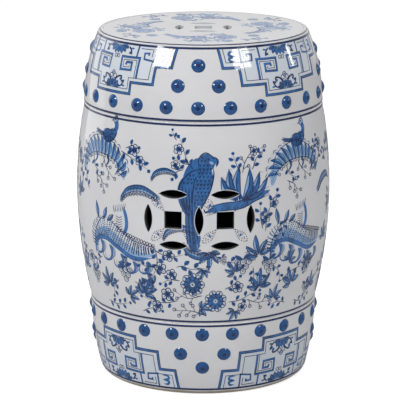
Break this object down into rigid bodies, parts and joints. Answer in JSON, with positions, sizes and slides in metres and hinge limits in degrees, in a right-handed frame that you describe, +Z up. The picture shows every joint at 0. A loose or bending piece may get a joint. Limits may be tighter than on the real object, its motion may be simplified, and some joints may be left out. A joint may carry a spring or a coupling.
{
  "type": "ceramic garden stool",
  "caption": "Barrel-shaped glazed ceramic garden stool in blue and white, with pierced coin openings in belly and seat and rows of domed studs.",
  "frame": {"origin": "centre of the foot, on the surface that the stool stands on", "axes": "+Z up along the drum's axis; the side with the painted front and its coin openings faces -Y"},
  "size_m": [0.3353, 0.3354, 0.46],
  "materials": {
    "white_glaze": "gloss, pale cool white over fired clay, painted in cobalt",
    "cobalt_glaze": "gloss cobalt blue"
  },
  "bodies": {
    "root": {"lower_band": "white_glaze", "upper_band": "white_glaze", "belly_wall": "white_glaze", "seat_slab": "white_glaze", "lower_row_stud_01": "cobalt_glaze", "lower_row_stud_02": "cobalt_glaze", "lower_row_stud_03": "cobalt_glaze", "lower_row_stud_04": "cobalt_glaze", "lower_row_stud_05": "cobalt_glaze", "lower_row_stud_06": "cobalt_glaze", "lower_row_stud_07": "cobalt_glaze", "lower_row_stud_08": "cobalt_glaze", "lower_row_stud_09": "cobalt_glaze", "lower_row_stud_10": "cobalt_glaze", "lower_row_stud_11": "cobalt_glaze", "lower_row_stud_12": "cobalt_glaze", "lower_row_stud_13": "cobalt_glaze", "lower_row_stud_14": "cobalt_glaze", "lower_row_stud_15": "cobalt_glaze", "lower_row_stud_16": "cobalt_glaze", "lower_row_stud_17": "cobalt_glaze", "lower_row_stud_18": "cobalt_glaze", "lower_row_stud_19": "cobalt_glaze", "lower_row_stud_20": "cobalt_glaze", "lower_row_stud_21": "cobalt_glaze", "lower_row_stud_22": "cobalt_glaze", "lower_row_stud_23": "cobalt_glaze", "lower_row_stud_24": "cobalt_glaze", "lower_gap_studs_1": "cobalt_glaze", "lower_gap_studs_2": "cobalt_glaze", "lower_gap_studs_3": "cobalt_glaze", "lower_gap_studs_4": "cobalt_glaze", "upper_row_stud_01": "cobalt_glaze", "upper_row_stud_02": "cobalt_glaze", "upper_row_stud_03": "cobalt_glaze", "upper_row_stud_04": "cobalt_glaze", "upper_row_stud_05": "cobalt_glaze", "upper_row_stud_06": "cobalt_glaze", "upper_row_stud_07": "cobalt_glaze", "upper_row_stud_08": "cobalt_glaze", "upper_row_stud_09": "cobalt_glaze", "upper_row_stud_10": "cobalt_glaze", "upper_row_stud_11": "cobalt_glaze", "upper_row_stud_12": "cobalt_glaze", "upper_row_stud_13": "cobalt_glaze", "upper_row_stud_14": "cobalt_glaze", "upper_row_stud_15": "cobalt_glaze", "upper_row_stud_16": "cobalt_glaze", "upper_row_stud_17": "cobalt_glaze", "upper_row_stud_18": "cobalt_glaze", "upper_row_stud_19": "cobalt_glaze", "upper_row_stud_20": "cobalt_glaze", "upper_row_stud_21": "cobalt_glaze", "upper_row_stud_22": "cobalt_glaze", "upper_row_stud_23": "cobalt_glaze", "upper_row_stud_24": "cobalt_glaze", "upper_gap_studs_1": "cobalt_glaze", "upper_gap_studs_2": "cobalt_glaze", "upper_gap_studs_3": "cobalt_glaze", "upper_gap_studs_4": "cobalt_glaze"}
  },
  "joints": []
}
